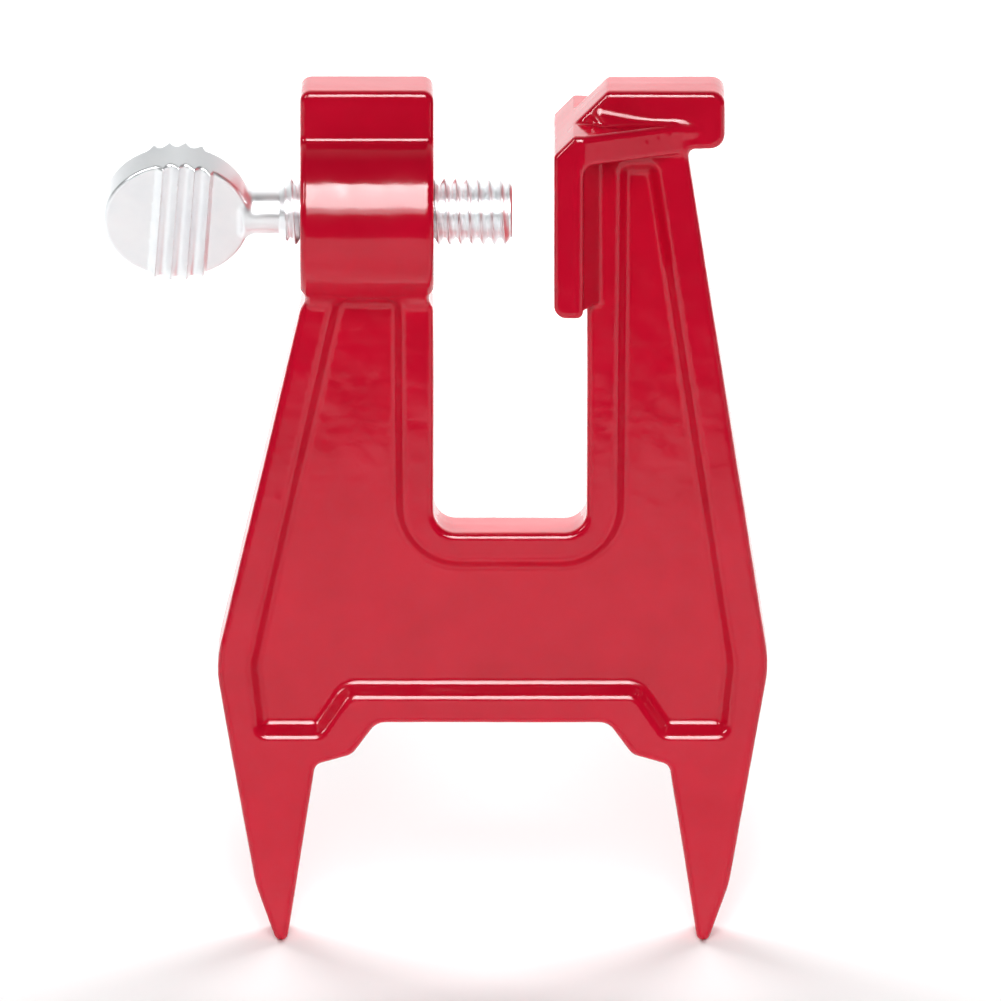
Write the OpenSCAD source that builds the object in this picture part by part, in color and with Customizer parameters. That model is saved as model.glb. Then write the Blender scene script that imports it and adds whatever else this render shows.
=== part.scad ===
// Stump vise: a cast body with two spikes, and a thumb screw that clamps a saw bar against its jaw.
// X runs along the screw towards the jaw, Y across the plate, and Z up. Sizes are millimetres.
// The origin is on the plate's middle plane, midway between the spikes and level with their shoulders.

/* [Plate] */
// Thickness of the plate, its rims and the hammer blocks
plate_t = 10; // [9:0.5:12]
// Thickness of the web between the two recesses
web_t = 5.8; // [4:0.2:7]
// Half of the body's width at its widest place
half_w = 40; // [39:0.5:42]
// Height of the widest place above the spikes' shoulders
wide_z = 14.5; // [12:0.5:17]
// Width of the rim between each recess and the slot or the arch
rim_w = 4.6; // [4:0.2:5.6]
// Width of the rim between each recess and the body's outer edges
outer_rim_w = 5.4; // [4.6:0.2:6]
// Height of the arch between the spikes above their shoulders
arch_z = 5.8; // [4:0.2:7]

/* [Spikes] */
// Length of each spike below its shoulder
spike_l = 26.8; // [24:0.2:34]
// Distance from the middle to the point of each spike
spike_x = 30.5; // [30:0.1:31]
// Half of the width of the blunt end of each spike
spike_end = 0.9; // [0.7:0.1:1.2]

/* [Bar slot] */
// Width of the slot between the two arms
slot_w = 22; // [20:0.5:24]
// Distance of the slot's centre from the middle of the body
slot_x = 2.6; // [2:0.1:3]
// Height of the slot's floor above the shoulders
slot_z = 34.3; // [31:0.1:38]
// Radius of the slot's lower corners
slot_r = 3.2; // [2:0.1:5]

/* [Heads] */
// Height of the two hammer faces above the shoulders
top_z = 100; // [98:0.5:106]
// Height of the screw's axis above the shoulders
axis_z = 81; // [80:0.5:82]
// Diameter of the boss that carries the screw
boss_d = 25.4; // [22:0.1:28]
// Width of the left hammer block along the screw
block_w = 19.2; // [18.6:0.1:20]
// Distance from the middle to the right hammer block's outer end
ear_x = 33.5; // [32:0.5:36]
// Height of the underside of the right hammer block's ear
ear_z = 91.3; // [91:0.1:93]

/* [Fixed jaw] */
// Distance of the jaw's face from the middle of the body
jaw_x = 8.9; // [8:0.1:10]
// Length of the jaw across the plate
jaw_l = 25.4; // [20:0.1:30]
// Thickness of the jaw pad
jaw_t = 4.2; // [3.8:0.1:4.6]
// Height of the jaw pad's lower edge
jaw_z = 68.2; // [64:0.1:70]
// Height of the shelf's top
shelf_z = 95.2; // [95:0.1:96]
// Thickness of the shelf behind the jaw
shelf_t = 4.4; // [3.5:0.1:5]
// Size of the bevel along the jaw's upper edge
jaw_bevel = 2.9; // [2:0.1:3.5]

/* [Thumb screw] */
// Major diameter of the thread, 3/8 inch
thread_d = 9.525; // [9.5:0.005:9.55]
// Pitch of the thread, 16 turns to the inch
pitch = 1.5875; // [1.5:0.0125:1.75]
// Distance of the screw's tip from the middle of the body, as shown
tip_x = 2.9; // [-8:0.1:8]
// Length of the threaded shank
shank_l = 33.5; // [32:0.5:38]
// Diameter of the neck between the shank and the grip
neck_d = 6.5; // [6:0.1:7]
// Length of the neck
neck_l = 4.6; // [3:0.1:6]
// Diameter of the round grip
grip_d = 21; // [18:0.5:24]
// Thickness of the grip
grip_t = 4.6; // [4:0.1:6]
// Angle that the grip is turned about the screw's axis, as shown
grip_turn = 25; // [0:1:90]
// Distance between neighbouring ridges on the grip
ridge_pitch = 2.3; // [2:0.1:2.6]
// Height of the ridges above the grip's faces
ridge_h = 0.9; // [0.5:0.1:1]

/* [Hidden] */
$fn = 64;

paint = [0.70, 0.05, 0.12];
plating = [0.80, 0.81, 0.82];

bore_clear = 0.05;                      // radial clearance of the shank in the boss
core_clear = 0.04;                      // radial clearance of the core in the shank
ridge_slant = 3.7;                      // degrees that the ridges lean from square across the screw
ridge_shift = 0.9;                      // how far the middle of the ridges lies towards the shank
core_d = 5;                             // the screw's core, which travels but shows no turning
recess_d = (plate_t - web_t) / 2;
slot_left = slot_x - slot_w / 2;
slot_right = slot_x + slot_w / 2;
block_left = slot_left - block_w;
jaw_top = shelf_z - jaw_bevel;          // height at which the jaw's face ends and its bevel begins
bevel_x = jaw_x + top_z - jaw_top;      // where the bevel's plane reaches the hammer face
web_leg = 2.4;                          // the sloping web between jaw pad and arm, along the
web_deep = 5;                           // screw and across the plate
boss_step = 0.3;                        // how far the boss stands back from the block's outer end
boss_left = block_left + boss_step;
pad_mid = jaw_x + jaw_t / 2;            // the middle of the jaw pad's thickness
neck_z = axis_z - boss_d / 2 + 1;       // where the left arm meets the boss
arch_x = 16.7;                          // half of the width of the arch's top
shoulder_in = 20.2;                     // the shoulder's two ends, from the middle
shoulder_out = 25.5;
shoulder_high = 1;                      // the heights of those two ends
shoulder_low = -0.5;
bulge_x = 34.3;                         // where the spikes' outer edges bend, and how high
bulge_z = -18.3;
ear_root_x = 28.1;                      // where the right arm's outer edge meets the ear
recess_left = slot_left - rim_w;
recess_right = slot_right + rim_w;
recess_out = half_w - outer_rim_w;      // the recesses' outermost corners
recess_foot = 4.4;                      // the recesses' lowest edge, beside the arch
recess_top = ear_z - 2;                 // the recesses' top edge in the right arm
shelf_end = 27.3;                       // where the shelf has narrowed to the hammer block
grip_bite = 0.3;                        // how far the neck runs into the grip's rim
over = 1;                               // how far a cutting shape runs past a face

function unit(v) = v / norm(v);

// The points of an arc of radius r at corner b, tangent to the edges that come from a and go to c
function arc_at(a, b, c, r) =
    let (u = unit(a - b), v = unit(c - b), half = acos(u * v) / 2,
         centre = b + unit(u + v) * r / sin(half),
         first = b + u * r / tan(half) - centre,
         last = b + v * r / tan(half) - centre,
         start = atan2(first.y, first.x),
         turn = (atan2(last.y, last.x) - start + 540) % 360 - 180,
         steps = max(2, ceil(abs(turn) / 15)))
    [for (i = [0:steps]) centre + r * [cos(start + turn * i / steps), sin(start + turn * i / steps)]];

// An outline from corners given as [x, z, radius]; a radius of 0 keeps the corner sharp
function filleted(corners) =
    let (n = len(corners), at = [for (c = corners) [c[0], c[1]]])
    [for (i = [0:n - 1])
        for (p = corners[i][2] == 0 ? [at[i]]
               : arc_at(at[(i + n - 1) % n], at[i], at[(i + 1) % n], corners[i][2])) p];

// The corners of one side in the order they are listed, or mirrored and in reverse order
function side(corners, s) = s > 0 ? corners
    : [for (i = [len(corners) - 1:-1:0]) [-corners[i][0], corners[i][1], corners[i][2]]];

// The right half of the lower outline, from the arch down the spike and up to the widest place
lower = [
    [arch_x, arch_z, 2.5],
    [shoulder_in, shoulder_high, 2.5],
    [shoulder_out, shoulder_low, 1.4],
    [spike_x - spike_end, -spike_l, 0.9],
    [spike_x + spike_end, -spike_l, 0.9],
    [bulge_x, bulge_z, 12],
    [half_w, wide_z, 16]];

// The whole outline of the plate, anticlockwise: lower right, right head, slot, left head, lower left
outline = concat(side(lower, 1), [
    [ear_root_x, ear_z, 1],
    [ear_x, ear_z, 2],
    [ear_x, top_z, 2],
    [bevel_x, top_z, 0.6],
    [pad_mid, jaw_top + jaw_t / 2, 0],
    [pad_mid, jaw_z, 0],
    [slot_right, jaw_z, 0],
    [slot_right, slot_z, slot_r],
    [slot_left, slot_z, slot_r],
    [slot_left, top_z, 1.5],
    [block_left, top_z, 1.5],
    [block_left, neck_z + 2, 0],
    [block_left + 0.4, neck_z, 0]],
    side(lower, -1));

// The right half of the recess's lower edge
recess_lower = [
    [shoulder_in, arch_z + rim_w, 2],
    [shoulder_out - 1.2, recess_foot, 2],
    [recess_out - 1, recess_foot, 2],
    [recess_out, wide_z, 5]];

// The outline of the recesses, which run up under the boss in the left arm
recess_outline = concat(side(recess_lower, 1), [
    [ear_root_x - outer_rim_w, recess_top, 1.8],
    [recess_right, recess_top, 1.8],
    [recess_right, slot_z - rim_w, 8],
    [recess_left, slot_z - rim_w, 8],
    [recess_left, axis_z - boss_d / 4, 0],
    [block_left + outer_rim_w, axis_z - boss_d / 4, 0],
    [block_left + outer_rim_w, neck_z, 0]],
    side(recess_lower, -1));

// Extrudes a shape drawn in X and Z by t across the plate, about the middle plane
module across(t) rotate([90, 0, 0]) linear_extrude(t, center = true) children();

// A cylinder of diameter d along X, from x0 to x1, at the height of the screw's axis
module rod(d, x0, x1) translate([x0, 0, axis_z]) rotate([0, 90, 0]) cylinder(d = d, h = x1 - x0);

// The jaw pad with its chamfered top edge and its rounded lower edge
module jaw_pad() across(jaw_l) polygon(filleted([
    [jaw_x, jaw_z, 1.8],
    [jaw_x + jaw_t, jaw_z, 1],
    [jaw_x + jaw_t, shelf_z, 0],
    [jaw_x + jaw_bevel, shelf_z, 0],
    [jaw_x, jaw_top, 0]]));

// The shelf that carries the jaw pad, narrowing to the hammer block
module jaw_shelf() translate([0, 0, shelf_z - shelf_t]) linear_extrude(shelf_t) polygon([
    [jaw_x + jaw_bevel, -jaw_l / 2], [jaw_x + jaw_t, -jaw_l / 2],
    [shelf_end, -plate_t / 2], [shelf_end, plate_t / 2],
    [jaw_x + jaw_t, jaw_l / 2], [jaw_x + jaw_bevel, jaw_l / 2]]);

// The sloping web from the back of the jaw pad to the arm's face
module jaw_web() translate([0, 0, jaw_z + 1]) linear_extrude(shelf_z - shelf_t - jaw_z) polygon([
    [pad_mid, -plate_t / 2 - web_deep], [jaw_x + jaw_t, -plate_t / 2 - web_deep],
    [jaw_x + jaw_t + web_leg, -plate_t / 2], [jaw_x + jaw_t + web_leg, plate_t / 2],
    [jaw_x + jaw_t, plate_t / 2 + web_deep], [pad_mid, plate_t / 2 + web_deep]]);

// The casting: plate, spikes, boss, hammer blocks and jaw in one piece
module vise_body() color(paint) difference() {
    union() {
        difference() {
            across(plate_t) polygon(filleted(outline));
            for (s = [-1, 1])
                translate([0, s * (web_t + recess_d + over) / 2, 0])
                    across(recess_d + over) polygon(filleted(recess_outline));
        }
        rod(boss_d, boss_left, slot_left);
        jaw_pad();
        jaw_shelf();
        jaw_web();
    }
    rod(thread_d + 2 * bore_clear, boss_left - over, slot_left + over);
}

// The shank's half profile as [radius, distance from the tip]: ring grooves with 60 degree flanks
function shank_profile() =
    let (depth = 0.6134 * pitch, r = thread_d / 2, flat = pitch / 8, flank = depth * tan(30),
         turns = floor((shank_l - pitch) / pitch))
    concat([[0, 0], [r - depth, 0], [r, depth]],
        [for (i = [1:turns]) let (z = i * pitch + 0.3)
            each [[r, z], [r - depth, z + flank], [r - depth, z + flank + 2 * flat], [r, z + 2 * flank + 2 * flat]]],
        [[r, shank_l], [neck_d / 2, shank_l + 0.9], [neck_d / 2, shank_l + neck_l], [0, shank_l + neck_l]]);

// A round plate of the grip's diameter, t thick, standing on the screw's axis
module disc(t) rotate([90, 0, 0]) cylinder(d = grip_d, h = t, center = true);

// The round grip with four pointed ridges across each face
module grip() {
    centre_x = tip_x - shank_l - neck_l - grip_d / 2 + grip_bite;
    translate([centre_x, 0, axis_z]) rotate([grip_turn, 0, 0]) {
        disc(grip_t);
        intersection() {
            disc(grip_t + 2 * ridge_h);
            for (i = [-1.5:1:1.5], s = [-1, 1])
                translate([ridge_shift, s * grip_t / 2, 0]) rotate([0, -ridge_slant * s, 0])
                    translate([i * ridge_pitch, 0, 0]) rotate([0, 0, 45])
                        cube([ridge_h * sqrt(2), ridge_h * sqrt(2), grip_d + over], center = true);
        }
    }
}

// The thumb screw: threaded shank, neck and grip, hollow where the core runs
module thumb_screw() color(plating) difference() {
    union() {
        translate([tip_x, 0, axis_z]) rotate([0, -90, 0]) rotate_extrude() polygon(shank_profile());
        grip();
    }
    rod(core_d + 2 * core_clear, tip_x - shank_l, tip_x + over);
}

// The core of the shank, which travels with the screw but does not turn
module screw_core() color(plating) rod(core_d, tip_x - shank_l + 0.1, tip_x);

vise_body();
thumb_screw();
screw_core();
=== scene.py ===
"""Stump vise: the looks of its cast body and its thumb screw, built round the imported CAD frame.

Each piece is described as a field of signed distances in millimetres, negative inside the piece, and meshed
on the field's zero level. So every fillet, drafted wall, ridge and thread flank is real geometry.
"""

import math

import bpy
import numpy as np
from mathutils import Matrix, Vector

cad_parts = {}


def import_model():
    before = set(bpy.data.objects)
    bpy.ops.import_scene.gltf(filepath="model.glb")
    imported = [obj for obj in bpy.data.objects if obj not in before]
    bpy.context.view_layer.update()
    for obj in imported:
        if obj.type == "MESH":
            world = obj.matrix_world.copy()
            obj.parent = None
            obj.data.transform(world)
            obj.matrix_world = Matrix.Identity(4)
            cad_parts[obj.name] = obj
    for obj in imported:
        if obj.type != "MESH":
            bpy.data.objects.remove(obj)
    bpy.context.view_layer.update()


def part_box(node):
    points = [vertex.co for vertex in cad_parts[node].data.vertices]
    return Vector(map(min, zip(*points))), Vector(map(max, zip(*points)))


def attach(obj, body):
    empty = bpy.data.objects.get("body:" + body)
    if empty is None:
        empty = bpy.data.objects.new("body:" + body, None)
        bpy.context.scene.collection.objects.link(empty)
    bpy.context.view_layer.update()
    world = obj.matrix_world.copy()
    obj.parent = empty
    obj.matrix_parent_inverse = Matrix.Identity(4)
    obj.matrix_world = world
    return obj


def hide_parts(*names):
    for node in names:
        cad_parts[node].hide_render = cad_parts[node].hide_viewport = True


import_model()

MM = 0.001


def box_mm(node):
    """A CAD node's lowest and highest corners in millimetres."""
    return [np.array(corner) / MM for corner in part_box(node)]


body_low, body_high = box_mm("vise_body")
screw_low, screw_high = box_mm("thumb_screw")
core_low, core_high = box_mm("screw_core")

# ---- Sizes in millimetres, in the CAD frame: X along the screw, Y across the plate, Z up ----
# The plate, its spikes and its slot
TOP_Z = body_high[2]
POINT_Z = body_low[2]
HALF_PLATE = 5.0
HALF_WIDTH = body_high[0] + 0.2
WIDE_Z = 14.5
SLOT_LEFT = -8.4
SLOT_RIGHT = 13.6
SLOT_Z = 34.3
ARCH_X = 16.7
ARCH_Z = 5.8
SHOULDER_IN = 20.2
SHOULDER_OUT = 25.5
SHOULDER_HIGH = 1
SHOULDER_LOW = -0.5
POINT_IN = 29.6
POINT_OUT = 31.3
BULGE_X = 34.3
BULGE_Z = -18.3
DRAFT = 0.012
PLATE_EDGE_R = 0.95

# The recess in each face of the plate
HALF_WEB = 2.9
RIM = 4.1
OUTER_RIM = 4.8
FOOT_IN = 24.7
FOOT_OUT = 34.1
FOOT_Z = 3.9
WALL_SLOPE = 0.7
RECESS_R = 0.55

# The left hammer block, the boss under it and the waist where they meet the plate
AXIS_Z = (core_low[2] + core_high[2]) / 2
JAW_HALF = body_high[1]
BOSS_R = JAW_HALF
BLOCK_LEFT = -27.6
BLOCK_R = 0.6
NECK_Z = 69.3
WAIST_R = 2.1
WAIST_TOP = 76
WAIST_FADE_UP = 3
WAIST_INSET = 0.3
WAIST_FADE_IN = 0.9
WAIST_LEAST = 0.05
NOTCH_OUT = 1.3
NOTCH_R = 2
BORE_R = 4.9
SMALL_R = 0.4
# Where the casting's left side ends and its right side starts, inside the slot
MIDDLE_X = 2

# The right hammer block, the fixed jaw and its shelf
EAR_X = 33.5
EAR_Z = 91.3
EAR_ROOT_X = 28.1
JAW_X = 8.9
JAW_BACK = 13.1
JAW_LOW = 68.2
JAW_TOP = 92.3
JAW_EDGE_R = 0.8
SHELF_Z = 95.2
SHELF_LOW = 90.8
SHELF_END = 28.3
SHELF_CUT_X = 20
SHELF_CUT_IN = 0.5
PLAN_R = 0.15
# Inside the jaw pad, the plate's edge steps back from the pad's face
STEP_X = JAW_X + 2.1
STEP_Z = JAW_LOW - 0.5
# The fillet between the plate and the jaw: wider above the shelf, and fading out at the bevel
JAW_FILLET = 0.6
SHELF_FILLET = 0.4
SHELF_FILLET_Z = 93
BEVEL_FADE = 1.2
BEVEL_LEAST = 0.04

# The web behind the jaw pad and the gusset over the shelf
WEB_LEG = 2.4
WEB_DEEP = 5.0
WEB_LOW = JAW_LOW + 0.4
WEB_END_R = 0.6
WEB_R = 0.3
GUSSET_X = 14.3
GUSSET_FALL = 2.5 / 12.4
GUSSET_SINK = 0.6
GUSSET_INSET = 0.3
GUSSET_BEVEL_R = 0.3
GUSSET_BEVEL_IN = 0.1

# How far a hidden end reaches into its neighbour, and a distance that counts as inside everywhere
HIDDEN = 1
DEEP_INSIDE = -9

# The uneven cast skin: the height and the width of its waves
SKIN = ((0.003, 2.4), (0.008, 5), (0.02, 17))

# The thumb screw
THREAD_R = 9.525 / 2
PITCH = 1.5875
THREAD_DEPTH = 0.6134 * PITCH
HALF_CREST = PITCH / 16
CREST_R = 0.05
ROOT_R = 0.12
TIP_X = core_high[0]
TIP_CHAMFER = 1
TIP_R = 0.15
SHANK_X = TIP_X - 33.5
NECK_R = 3.25
NECK_END_R = 0.3
GRIP_R = 10.5
GRIP_X = screw_low[0] + GRIP_R
HALF_GRIP = 2.3
GRIP_TURN = math.radians(25)
GRIP_EDGE_R = 0.5
GRIP_ROOT_R = 1.0
RIDGE_PITCH = 2.28
RIDGE_H = 1.0
RIDGE_SHIFT = 0.9
RIDGE_SKEW = 0.8
RIDGE_FIRST = -2
RIDGE_LAST = 1.5
LAST_FLANK = 0.45
RIDGE_SLANT = math.tan(math.radians(3.7))

# The step along an arc in radians, the meshes' grid steps, and the room left round each piece
ARC_STEP = 0.1
BODY_STEP = 0.5
SCREW_STEP = 0.22
ROOM = 1.2


# ---- Outlines ----
def unit(v):
    """The vector at length one."""
    return v / np.linalg.norm(v)


def filleted(corners):
    """The points of an outline given by its corners (x, z, radius), each rounded by an arc."""
    points = []
    for i, (x, z, r) in enumerate(corners):
        b = np.array((x, z))
        if not r:
            points.append(b)
            continue
        u = unit(np.array(corners[i - 1][:2]) - b)
        v = unit(np.array(corners[(i + 1) % len(corners)][:2]) - b)
        half = math.acos(np.clip(u @ v, -1, 1)) / 2
        centre = b + unit(u + v) * r / math.sin(half)
        first, last = (b + side * r / math.tan(half) - centre for side in (u, v))
        start = math.atan2(first[1], first[0])
        turn = (math.atan2(last[1], last[0]) - start + math.pi) % math.tau - math.pi
        count = max(3, math.ceil(abs(turn) / ARC_STEP))
        for angle in np.linspace(start, start + turn, count):
            points.append(centre + r * np.array((math.cos(angle), math.sin(angle))))
    return points


def distance_to(points, x, z):
    """Signed distance from (x, z) to a closed outline, negative inside it."""
    nearest = np.full(np.broadcast(x, z).shape, np.inf)
    inside = np.zeros(nearest.shape, bool)
    for a, b in zip(points, points[1:] + points[:1]):
        edge = b - a
        along = np.clip(((x - a[0]) * edge[0] + (z - a[1]) * edge[1]) / max(edge @ edge, 1e-12), 0, 1)
        away_x = x - a[0] - along * edge[0]
        away_z = z - a[1] - along * edge[1]
        nearest = np.minimum(nearest, away_x ** 2 + away_z ** 2)
        if edge[1]:
            inside ^= ((a[1] > z) != (b[1] > z)) & (x < a[0] + edge[0] * (z - a[1]) / edge[1])
    return np.where(inside, -1, 1) * np.sqrt(nearest)


class Outline:
    """Signed distance to an outline, read from a table that is filled once."""

    STEP = 0.25
    PAD = 6.0

    def __init__(self, corners):
        points = filleted(corners)
        self.low = np.min(points, axis=0) - self.PAD
        high = np.max(points, axis=0) + self.PAD
        xs, zs = (np.arange(self.low[i], high[i] + self.STEP, self.STEP) for i in (0, 1))
        self.table = distance_to(points, xs[:, None], zs[None, :])

    def __call__(self, x, z):
        place, part = [], []
        for value, low, size in zip((x, z), self.low, self.table.shape):
            # The last cell starts one short of the last column
            cell = np.clip((value - low) / self.STEP, 0, size - 1.001)
            place.append(cell.astype(int))
            part.append(cell - place[-1])
        (i, j), (s, t) = place, part
        table = self.table
        lower = table[i, j] * (1 - s) + table[i + 1, j] * s
        upper = table[i, j + 1] * (1 - s) + table[i + 1, j + 1] * s
        return lower * (1 - t) + upper * t


def mirrored(corners):
    """The same corners on the other side of the middle, in reverse order."""
    return [(-x, z, r) for x, z, r in reversed(corners)]


# Each corner is (x, z, radius). These go from the arch down the right spike and up to the widest place.
lower = [
    (ARCH_X, ARCH_Z, 2.5),
    (SHOULDER_IN, SHOULDER_HIGH, 2.5),
    (SHOULDER_OUT, SHOULDER_LOW, 1.4),
    (POINT_IN, POINT_Z, 0.95),
    (POINT_OUT, POINT_Z, 1.05),
    (BULGE_X, BULGE_Z, 12),
    (HALF_WIDTH, WIDE_Z, 16)]
# The plate with its right hammer block; the jaw covers the step at its slot side, and the boss its left top
plate_outline = Outline(lower + [
    (EAR_ROOT_X, EAR_Z, 1),
    (EAR_X, EAR_Z, 2.2),
    (EAR_X, TOP_Z, 2),
    (JAW_X + TOP_Z - JAW_TOP, TOP_Z, 0.8),
    (STEP_X, JAW_TOP + STEP_X - JAW_X, 0),
    (STEP_X, STEP_Z, 0),
    (SLOT_RIGHT, STEP_Z, 0),
    (SLOT_RIGHT, SLOT_Z, 3.2),
    (SLOT_LEFT, SLOT_Z, 3.2),
    (SLOT_LEFT, TOP_Z, 1.5),
    (BLOCK_LEFT, TOP_Z, 1.5),
    (BLOCK_LEFT, NECK_Z + 2, 0),
    (BLOCK_LEFT + 0.4, NECK_Z, 0)] + mirrored(lower))
recess_lower = [
    (FOOT_IN - RIM, ARCH_Z + RIM, 2),
    (FOOT_IN, FOOT_Z, 2),
    (FOOT_OUT, FOOT_Z, 2),
    (HALF_WIDTH - OUTER_RIM, WIDE_Z, 5)]
# The recess's mouth in the plate's face, whose left arm runs on under the boss
recess_outline = Outline(recess_lower + [
    (EAR_ROOT_X - 4.3, EAR_Z - 2, 1.8),
    (SLOT_RIGHT + RIM + 0.4, EAR_Z - 2, 1.8),
    (SLOT_RIGHT + RIM, SLOT_Z - RIM, 8),
    (SLOT_LEFT - RIM - 0.1, SLOT_Z - RIM, 8),
    (SLOT_LEFT - RIM - 0.3, NECK_Z + 4, 0),
    (BLOCK_LEFT + OUTER_RIM + 0.7, NECK_Z + 4, 0)] + mirrored(recess_lower))
# The left head, seen from the front
head_outline = Outline([
    (SLOT_LEFT, TOP_Z, 1.6),
    (BLOCK_LEFT, TOP_Z, 1.6),
    (BLOCK_LEFT, NECK_Z - 1, 1),
    (SLOT_LEFT, NECK_Z - 1, 1)])
# The jaw pad and its shelf, seen from the front
jaw_outline = Outline([
    (JAW_X, JAW_LOW, 1.8),
    (JAW_BACK, JAW_LOW, 1),
    (JAW_BACK, SHELF_LOW, 1.7),
    (EAR_X, SHELF_LOW, 0),
    (EAR_X, SHELF_Z, 0),
    (JAW_X + SHELF_Z - JAW_TOP, SHELF_Z, 0),
    (JAW_X, JAW_TOP, 0.8)])


# ---- Fields ----
def joined(a, b, r):
    """Two solids as one, with a fillet of radius r where they meet."""
    return np.maximum(r, np.minimum(a, b)) - np.hypot(np.maximum(r - a, 0), np.maximum(r - b, 0))


def common(a, b, r):
    """What two solids share, with its edges rounded to radius r."""
    return np.minimum(-r, np.maximum(a, b)) + np.hypot(np.maximum(r + a, 0), np.maximum(r + b, 0))


def ripple(x, y, z, size, seed):
    """A smooth uneven field of about unit height, with waves about size across."""
    rng = np.random.default_rng(seed)
    waves = 9
    total = 0
    for _ in range(waves):
        k = unit(rng.normal(size=3)) * math.tau / size * rng.uniform(0.7, 1.4)
        total = total + np.sin(x * k[0] + y * k[1] + z * k[2] + rng.uniform(0, math.tau))
    return total / math.sqrt(waves)


def plate(x, y, z):
    """The plate with its spikes, rims and right head, and a recess in each face."""
    depth = np.abs(y)
    slab = common(plate_outline(x, z) + DRAFT * depth, depth - HALF_PLATE, PLATE_EDGE_R)
    across = 1 / math.hypot(1, WALL_SLOPE)
    wall = (recess_outline(x, z) + (HALF_PLATE - depth) * WALL_SLOPE) * across
    recess = common(HALF_WEB - depth, wall, RECESS_R)
    return common(slab, -recess, RECESS_R)


def left_head(x, y, z):
    """The left hammer block and the boss, which carries the screw."""
    block = np.maximum(np.abs(y) - HALF_PLATE, AXIS_Z - z)
    boss = np.hypot(y, z - AXIS_Z) - BOSS_R
    return common(joined(block, boss, BLOCK_R), head_outline(x, z), PLATE_EDGE_R)


def shelf_plan(x, depth):
    """The jaw pad and the shelf seen from above: straight, then narrowing to the hammer block."""
    slant = unit(np.array((JAW_HALF - HALF_PLATE, SHELF_END - JAW_BACK)))
    side = (x - JAW_BACK) * slant[0] + (depth - JAW_HALF) * slant[1]
    return common(side, depth - JAW_HALF, PLAN_R)


def jaw(x, y, z):
    """The fixed jaw's pad, the shelf behind it and the web, a slope that joins the pad's back to the arm."""
    depth = np.abs(y)
    solid = common(jaw_outline(x, z), shelf_plan(x, depth), JAW_EDGE_R)
    lean = unit(np.array((WEB_DEEP, WEB_LEG)))
    slope = (x - JAW_BACK - WEB_LEG) * lean[0] + (depth - HALF_PLATE) * lean[1]
    buried = np.maximum(JAW_BACK - HIDDEN - x, z - SHELF_LOW - HIDDEN)
    web = np.maximum(common(slope, WEB_LOW - z, WEB_END_R), buried)
    solid = joined(solid, web, WEB_R)
    # Towards its end the shelf stays inside the right hammer block
    block = np.where(x > SHELF_CUT_X, plate_outline(x, z) + SHELF_CUT_IN, DEEP_INSIDE)
    return np.maximum(solid, block)


def gusset(x, y, z):
    """The slope from the shelf's top up to the hammer block, which fades out towards the block's end."""
    depth = np.abs(y)
    slope = unit(np.array((GUSSET_FALL, 1, 1)))
    rise = z - SHELF_Z + GUSSET_SINK
    top = (x - SHELF_END) * slope[0] + (depth - HALF_PLATE) * slope[1] + rise * slope[2]
    end = (depth - HALF_PLATE - (x - GUSSET_X)) / math.sqrt(2)
    buried = np.maximum(HALF_PLATE - HIDDEN - depth, SHELF_Z - 2 * HIDDEN - z)
    sides = np.maximum(buried, shelf_plan(x, depth) + GUSSET_INSET)
    return np.maximum(common(top, end, JAW_EDGE_R), sides)


def right_head(x, y, z):
    """The plate with the fixed jaw, its shelf and the gusset. The fillets fade out at the jaw's bevel."""
    bevel = ((z - JAW_TOP) - (x - JAW_X)) / math.sqrt(2)
    inward = np.clip(-bevel / BEVEL_FADE, BEVEL_LEAST, 1)
    fillet = JAW_FILLET + SHELF_FILLET * np.clip(z - SHELF_FILLET_Z, 0, 1)
    solid = joined(plate(x, y, z), jaw(x, y, z), fillet * inward)
    cut_gusset = common(gusset(x, y, z), bevel + GUSSET_BEVEL_IN, GUSSET_BEVEL_R)
    return joined(solid, cut_gusset, SMALL_R * inward)


def left_side(x, y, z):
    """The plate with the left head. The waist's fillet fades out at the sides and up the boss."""
    inset = np.minimum(x - BLOCK_LEFT, SLOT_LEFT - x)
    inward = np.clip((inset - WAIST_INSET) / WAIST_FADE_IN, WAIST_LEAST, 1)
    downward = np.clip((WAIST_TOP - z) / WAIST_FADE_UP, WAIST_LEAST, 1)
    return joined(plate(x, y, z), left_head(x, y, z), WAIST_R * inward * downward)


def casting(x, y, z):
    """The whole cast body: both sides, the waist's notches, the bore and the uneven skin."""
    solid = np.where(x > MIDDLE_X, right_head(x, y, z), left_side(x, y, z))
    for edge, side in ((SLOT_LEFT, 1), (BLOCK_LEFT, -1)):
        notch = np.hypot(x - (edge + side * NOTCH_OUT), z - NECK_Z) - NOTCH_R
        solid = common(solid, -notch, SMALL_R)
    bore = np.maximum(np.hypot(y, z - AXIS_Z) - BORE_R, x)
    solid = common(solid, -bore, SMALL_R)
    for seed, (height, size) in enumerate(SKIN, 1):
        solid = solid + height * ripple(x, y, z, size, seed)
    return solid


def thread(x, rho, angle):
    """A right-hand thread along X, with rounded crests and roots."""
    phase = (x / PITCH - angle / math.tau) % 1
    from_crest = np.abs(phase - 0.5) * PITCH
    flank = ((rho - THREAD_R) + (from_crest - HALF_CREST) * math.sqrt(3)) / 2
    root = rho - (THREAD_R - THREAD_DEPTH)
    return joined(root, common(rho - THREAD_R, flank, CREST_R), ROOT_R)


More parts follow.
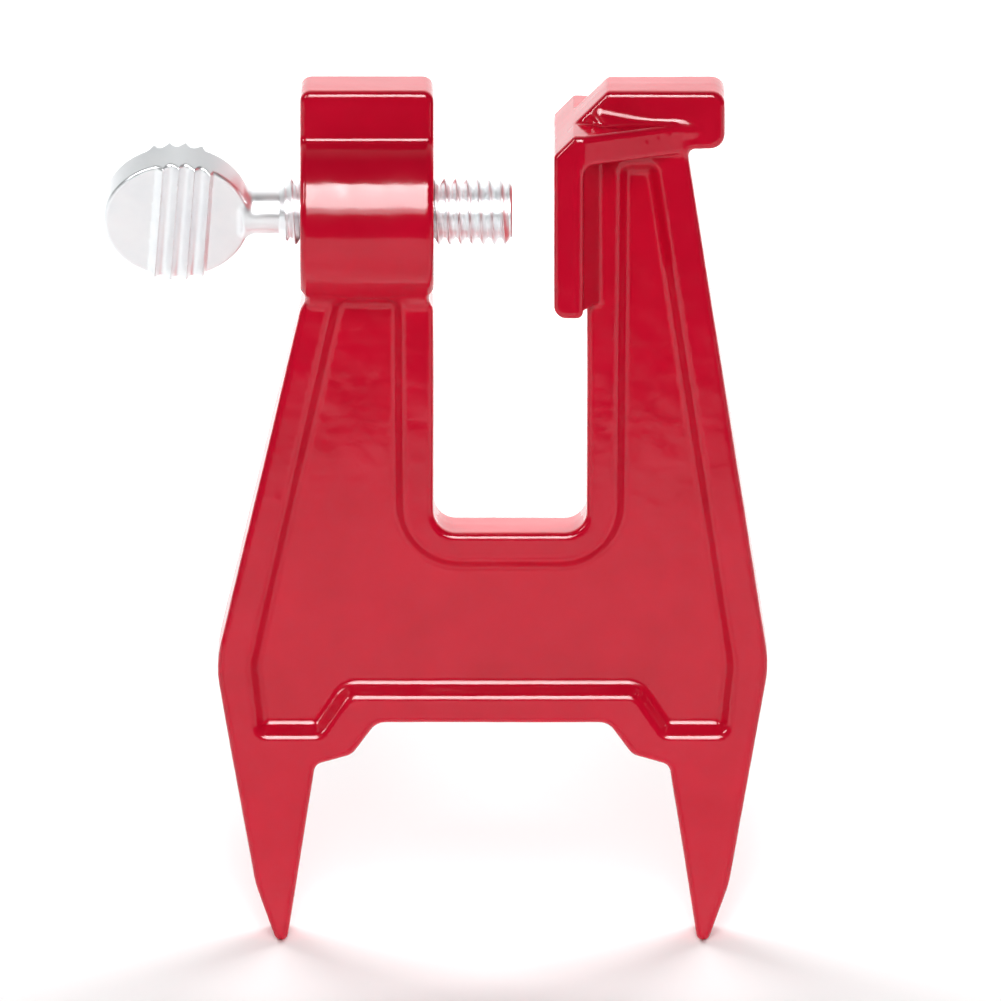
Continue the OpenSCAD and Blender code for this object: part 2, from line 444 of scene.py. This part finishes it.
def grip(x, y, z):
    """The round flat grip, turned about the screw's axis, with slanted ridges across both faces."""
    across = y * math.cos(GRIP_TURN) + z * math.sin(GRIP_TURN)
    up = z * math.cos(GRIP_TURN) - y * math.sin(GRIP_TURN)
    along = x - GRIP_X
    turns = (along - RIDGE_SHIFT + np.sign(across) * up * RIDGE_SLANT) / RIDGE_PITCH
    wave = 1 - np.sin(math.pi * ((turns + 0.5) % 1) ** RIDGE_SKEW)
    last = np.maximum(1 - (turns - RIDGE_LAST) * RIDGE_PITCH / LAST_FLANK, 0)
    ridge = RIDGE_H * np.where(turns > RIDGE_LAST, last, wave) * (turns > RIDGE_FIRST)
    return common(np.hypot(along, up) - GRIP_R, np.abs(across) - HALF_GRIP - ridge, GRIP_EDGE_R)


def thumb_screw(x, y, z):
    """The thumb screw: threaded shank, neck and grip."""
    z = z - AXIS_Z
    rho = np.hypot(y, z)
    tip = (rho + x - (THREAD_R + TIP_X - TIP_CHAMFER)) / math.sqrt(2)
    start = (rho - NECK_R - (x - SHANK_X)) / math.sqrt(2)
    shank = np.maximum(np.maximum(thread(x, rho, np.arctan2(z, y)), start), tip)
    shank = common(shank, x - TIP_X, TIP_R)
    ends = np.maximum(x - SHANK_X - HIDDEN, GRIP_X + GRIP_R - HIDDEN - x)
    neck = common(rho - NECK_R, ends, NECK_END_R)
    return np.minimum(joined(grip(x, y, z), neck, GRIP_ROOT_R), shank)


# ---- Meshing ----
# How far each round moves a vertex towards its neighbours' middle, before it goes back to the surface
SMOOTHING = (0.5, 0.5, 0.3, 0)
LEAST_STEEP = 0.1
LONGEST_MOVE = 0.3


def surface_nets(values, axes):
    """Vertices and quads on the zero level of a grid of values, one vertex in each cell that it crosses."""
    inside = values < 0
    size = np.array(values.shape) - 1
    corners = [np.array((i, j, k)) for i in (0, 1) for j in (0, 1) for k in (0, 1)]
    full = 0
    for corner in corners:
        shifted = tuple(slice(corner[a], corner[a] + size[a]) for a in range(3))
        full = full + inside[shifted].astype(np.int8)
    cells = np.argwhere((full > 0) & (full < len(corners)))
    number = np.full(size, -1)
    number[tuple(cells.T)] = np.arange(len(cells))
    total = np.zeros((len(cells), 3))
    hits = np.zeros(len(cells))
    for a in corners:
        for b in corners:
            if (b - a).sum() != 1 or (b < a).any():
                continue
            va = values[tuple((cells + a).T)]
            vb = values[tuple((cells + b).T)]
            crosses = (va < 0) != (vb < 0)
            share = np.where(crosses, va / np.where(crosses, va - vb, 1), 0)
            total += (a + share[:, None] * (b - a)) * crosses[:, None]
            hits += crosses
    local = total / hits[:, None]
    points = np.stack([
        axis[cells[:, i]] + local[:, i] * (axis[cells[:, i] + 1] - axis[cells[:, i]])
        for i, axis in enumerate(axes)], axis=1)
    quads = []
    for a in range(3):
        b, c = (a + 1) % 3, (a + 2) % 3
        ahead = np.roll(inside, -1, axis=a)
        changed = inside != ahead
        changed[(slice(None),) * a + (-1,)] = False
        place = np.argwhere(changed)
        for side in (b, c):
            place = place[(place[:, side] > 0) & (place[:, side] < size[side])]
        step_b = np.eye(3, dtype=int)[b]
        step_c = np.eye(3, dtype=int)[c]
        shifts = (step_b + step_c, step_c, 0 * step_b, step_b)
        quad = np.stack([number[tuple((place - shift).T)] for shift in shifts], axis=1)
        outward = inside[tuple(place.T)]
        quads.append(np.where(outward[:, None], quad, quad[:, ::-1]))
    return points, np.concatenate(quads)


def slope_of(field, points):
    """The field's gradient at each point."""
    reach = 0.02
    rise = []
    for axis in np.eye(3) * reach:
        rise.append(field(*(points + axis).T) - field(*(points - axis).T))
    return np.stack(rise, axis=1) / (2 * reach)


def settle(field, points, quads):
    """Evens out the vertices' spacing, keeps them on the field's zero level, and gives their normals."""
    near = np.concatenate([quads[:, [i, (i + 1) % 4]] for i in range(4)])
    near = np.concatenate([near, near[:, ::-1]])
    count = np.bincount(near[:, 0], minlength=len(points))[:, None]
    for share in SMOOTHING:
        mean = np.stack([
            np.bincount(near[:, 0], points[near[:, 1], i], len(points)) for i in range(3)], axis=1) / count
        points = points + share * (mean - points)
        slope = slope_of(field, points)
        steep = np.maximum((slope ** 2).sum(axis=1), LEAST_STEEP)
        step = slope * (field(*points.T) / steep)[:, None]
        points = points - np.clip(step, -LONGEST_MOVE, LONGEST_MOVE)
    slope = slope_of(field, points)
    return points, slope / np.linalg.norm(slope, axis=1)[:, None]


def piece_from(name, field, low, high, step, material):
    """An object whose mesh is the field's zero level between two corners, on a grid of the given step."""
    axes = [np.arange(low[i] - ROOM, high[i] + ROOM + step, step) for i in range(3)]
    points, quads = surface_nets(field(*np.ix_(*axes)), axes)
    points, normals = settle(field, points, quads)
    mesh = bpy.data.meshes.new(name)
    mesh.from_pydata(points * MM, [], quads)
    mesh.polygons.foreach_set("use_smooth", np.ones(len(mesh.polygons), bool))
    mesh.normals_split_custom_set_from_vertices(normals)
    mesh.materials.append(material)
    obj = bpy.data.objects.new(name, mesh)
    bpy.context.collection.objects.link(obj)
    return obj


# ---- Materials ----
NOISE_LOW = 0.3
NOISE_HIGH = 0.7
RED_DEEP = (0.62, 0.0026, 0.024)
RED_LIGHT = (0.69, 0.0034, 0.029)
ZINC_DULL = (0.90, 0.93, 0.95)
ZINC_BRIGHT = (0.95, 0.97, 0.98)
FLOOR_GREY = (0.92, 0.92, 0.92)
FLOOR_WHITE = (0.95, 0.95, 0.95)


class Shader:
    """A material's nodes, made one line at a time."""

    def __init__(self, name):
        self.material = bpy.data.materials.new(name)
        self.material.use_nodes = True
        self.tree = self.material.node_tree
        self.surface = self.tree.nodes["Principled BSDF"]
        self.place = self.node("ShaderNodeTexCoord").outputs["Object"]

    def node(self, kind, inputs=(), **settings):
        made = self.tree.nodes.new(kind)
        for key, value in settings.items():
            setattr(made, key, value)
        for key, value in dict(inputs).items():
            if isinstance(value, bpy.types.NodeSocket):
                self.tree.links.new(value, made.inputs[key])
            else:
                made.inputs[key].default_value = value
        return made

    def noise(self, size_mm, detail=2.0, rough=0.5):
        """Noise whose blotches are about size_mm across."""
        inputs = {"Vector": self.place, "Scale": 1000 / size_mm, "Detail": detail, "Roughness": rough}
        return self.node("ShaderNodeTexNoise", inputs).outputs["Fac"]

    def spread(self, value, low, high):
        """Maps the middle of a noise's range onto low to high."""
        inputs = {"Value": value, "From Min": NOISE_LOW, "From Max": NOISE_HIGH}
        inputs.update({"To Min": low, "To Max": high})
        return self.node("ShaderNodeMapRange", inputs).outputs["Result"]

    def blend(self, factor, first, second):
        """Two colours mixed by a factor."""
        mix = self.node("ShaderNodeMix", {0: factor}, data_type="RGBA")
        for socket, colour in zip((6, 7), (first, second)):
            mix.inputs[socket].default_value = (*colour, 1)
        return mix.outputs[2]

    def bump(self, height, depth_mm, strength, under=None):
        """A bump of the given depth, over an earlier one."""
        inputs = {"Height": height, "Distance": depth_mm * MM, "Strength": strength}
        if under is not None:
            inputs["Normal"] = under
        return self.node("ShaderNodeBump", inputs).outputs["Normal"]

    def finish(self, linked, fixed):
        """Sets the surface's inputs: linked ones vary over the surface, fixed ones are the same all over."""
        for key, socket in linked.items():
            self.tree.links.new(socket, self.surface.inputs[key])
        for key, value in fixed.items():
            self.surface.inputs[key].default_value = value
        return self.material


def red_paint():
    """Glossy red enamel on cast iron: orange peel, faint cloudiness and slightly uneven gloss."""
    s = Shader("red_paint")
    clouds = s.spread(s.noise(size_mm=9, detail=3), 0, 1)
    gloss = s.spread(s.noise(size_mm=3), 0.10, 0.17)
    peel = s.bump(s.noise(size_mm=1.3), depth_mm=0.02, strength=0.6)
    grain = s.bump(s.noise(size_mm=0.4), depth_mm=0.004, strength=0.4, under=peel)
    linked = {"Base Color": s.blend(clouds, RED_DEEP, RED_LIGHT), "Roughness": gloss, "Normal": grain}
    return s.finish(linked, {"Specular IOR Level": 0.43})


def zinc_plate():
    """Bright zinc plating: faint cloudy tarnish and fine tumbling marks."""
    s = Shader("zinc_plate")
    tarnish = s.spread(s.noise(size_mm=4, detail=3), 0, 1)
    gloss = s.spread(s.noise(size_mm=2, detail=3), 0.28, 0.38)
    dents = s.bump(s.noise(size_mm=1.2), depth_mm=0.01, strength=0.25)
    marks = s.bump(s.noise(size_mm=0.4), depth_mm=0.002, strength=0.25, under=dents)
    linked = {"Base Color": s.blend(tarnish, ZINC_DULL, ZINC_BRIGHT), "Roughness": gloss, "Normal": marks}
    return s.finish(linked, {"Metallic": 0.85})


def floor_white():
    """Matt pale studio paper, faintly uneven."""
    s = Shader("floor_white")
    clouds = s.spread(s.noise(size_mm=300), 0, 1)
    linked = {"Base Color": s.blend(clouds, FLOOR_GREY, FLOOR_WHITE)}
    return s.finish(linked, {"Roughness": 0.7, "Specular IOR Level": 0.2})


# ---- The object ----
vise_body = piece_from("vise_body_casting", casting, body_low, body_high, BODY_STEP, red_paint())
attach(vise_body, "body")
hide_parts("vise_body")

screw = piece_from("thumb_screw_plated", thumb_screw, screw_low, screw_high, SCREW_STEP, zinc_plate())
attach(screw, "screw")
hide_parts("thumb_screw", "screw_core")


# ---- The studio, in metres, degrees and watts ----
AIM = Vector((1.2, 0, 37.9)) * MM
# The floor lies just under the points, and ends a little way in front of the object
FLOOR_GAP = 0.05 * MM
FLOOR_FAR = 0.8
FLOOR_FRONT = -0.29
FLOOR_FRONT_HALF = 0.2
FLOOR_CORNER = -0.45
# The surround's brightness rises from front to back, and falls off towards the sides
WORLD_FRONT = -0.1
WORLD_BACK = 1.0
WORLD_DARK = 0.03
WORLD_BRIGHT = 1.65
SIDE_FALL = -0.4
LIGHT_FAR = 1.7
CAMERA_HEIGHT = 15
CAMERA_FAR = 5.0
VIEW_WIDTH = 144.4 * MM


def floor():
    """A plain pale floor under the spikes' points, which ends a little way in front of the object."""
    mesh = bpy.data.meshes.new("floor")
    z = POINT_Z * MM - FLOOR_GAP
    edge = [
        (-FLOOR_FAR, FLOOR_CORNER, z),
        (-FLOOR_FRONT_HALF, FLOOR_FRONT, z),
        (FLOOR_FRONT_HALF, FLOOR_FRONT, z),
        (FLOOR_FAR, FLOOR_CORNER, z),
        (FLOOR_FAR, FLOOR_FAR, z),
        (-FLOOR_FAR, FLOOR_FAR, z)]
    mesh.from_pydata(edge, [], [range(len(edge))])
    mesh.materials.append(floor_white())
    obj = bpy.data.objects.new("floor", mesh)
    bpy.context.collection.objects.link(obj)


def direction(azimuth, elevation):
    """The unit vector at two angles in degrees, azimuth 0 being in front of the object."""
    a = math.radians(azimuth)
    e = math.radians(elevation)
    return Vector((math.sin(a) * math.cos(e), -math.cos(a) * math.cos(e), math.sin(e)))


def look_from(obj, away, distance):
    """Puts a light or camera at a distance from the object, facing it."""
    obj.location = AIM + away * distance
    obj.rotation_euler = away.to_track_quat("Z", "Y").to_euler()


def softbox(name, azimuth, elevation, width, height, watts, distance=LIGHT_FAR):
    """A rectangular area light that faces the object. Returns its object."""
    light = bpy.data.lights.new(name, "AREA")
    light.shape = "RECTANGLE"
    light.size = width
    light.size_y = height
    light.energy = watts
    obj = bpy.data.objects.new(name, light)
    bpy.context.collection.objects.link(obj)
    look_from(obj, direction(azimuth, elevation), distance)
    return obj


def lights():
    """A tall key with a dimmer skirt in front, strips that only glint, and two lamps behind for the floor."""
    softbox("key", 0, 35, 0.3, 0.96, 14.6)
    softbox("key_skirt", 0, 15.5, 0.3, 0.2, 0.95)
    for azimuth in (-12, 12):
        softbox("glint", azimuth, 35, 0.4, 0.96, 18).visible_diffuse = False
    softbox("glint", -60, 29, 0.3, 0.7, 11).visible_diffuse = False
    for azimuth in (-150, 150):
        softbox("floor_light", azimuth, 27, 0.6, 0.3, 7.8, distance=1.1).visible_glossy = False


def world():
    """A pale surround, brightest behind the object and darker in front and at the sides."""
    made = bpy.data.worlds.new("studio")
    bpy.context.scene.world = made
    made.use_nodes = True
    tree = made.node_tree
    place = tree.nodes.new("ShaderNodeTexCoord").outputs["Generated"]
    parts = tree.nodes.new("ShaderNodeSeparateXYZ")
    tree.links.new(place, parts.inputs[0])
    sides = tree.nodes.new("ShaderNodeMath")
    sides.operation = "ABSOLUTE"
    tree.links.new(parts.outputs["X"], sides.inputs[0])
    behind = tree.nodes.new("ShaderNodeMath")
    behind.operation = "MULTIPLY_ADD"
    tree.links.new(sides.outputs[0], behind.inputs[0])
    behind.inputs[1].default_value = SIDE_FALL
    tree.links.new(parts.outputs["Y"], behind.inputs[2])
    ramp = tree.nodes.new("ShaderNodeMapRange")
    tree.links.new(behind.outputs[0], ramp.inputs["Value"])
    ramp.inputs["From Min"].default_value = WORLD_FRONT
    ramp.inputs["From Max"].default_value = WORLD_BACK
    ramp.inputs["To Min"].default_value = WORLD_DARK
    ramp.inputs["To Max"].default_value = WORLD_BRIGHT
    # The background itself is seen as plain white
    seen = tree.nodes.new("ShaderNodeLightPath").outputs["Is Camera Ray"]
    level = tree.nodes.new("ShaderNodeMix")
    tree.links.new(seen, level.inputs[0])
    tree.links.new(ramp.outputs["Result"], level.inputs[2])
    level.inputs[3].default_value = 1.0
    tree.links.new(level.outputs[0], tree.nodes["Background"].inputs["Strength"])
    tree.nodes["Background"].inputs["Color"].default_value = (1, 1, 1, 1)


def camera():
    """The camera: far away, a little above the object and straight in front of it."""
    data = bpy.data.cameras.new("camera")
    data.lens = data.sensor_width * CAMERA_FAR / VIEW_WIDTH
    obj = bpy.data.objects.new("camera", data)
    bpy.context.collection.objects.link(obj)
    look_from(obj, direction(0, CAMERA_HEIGHT), CAMERA_FAR)
    bpy.context.scene.camera = obj


floor()
world()
lights()
camera()
bpy.context.scene.view_settings.view_transform = "Standard"
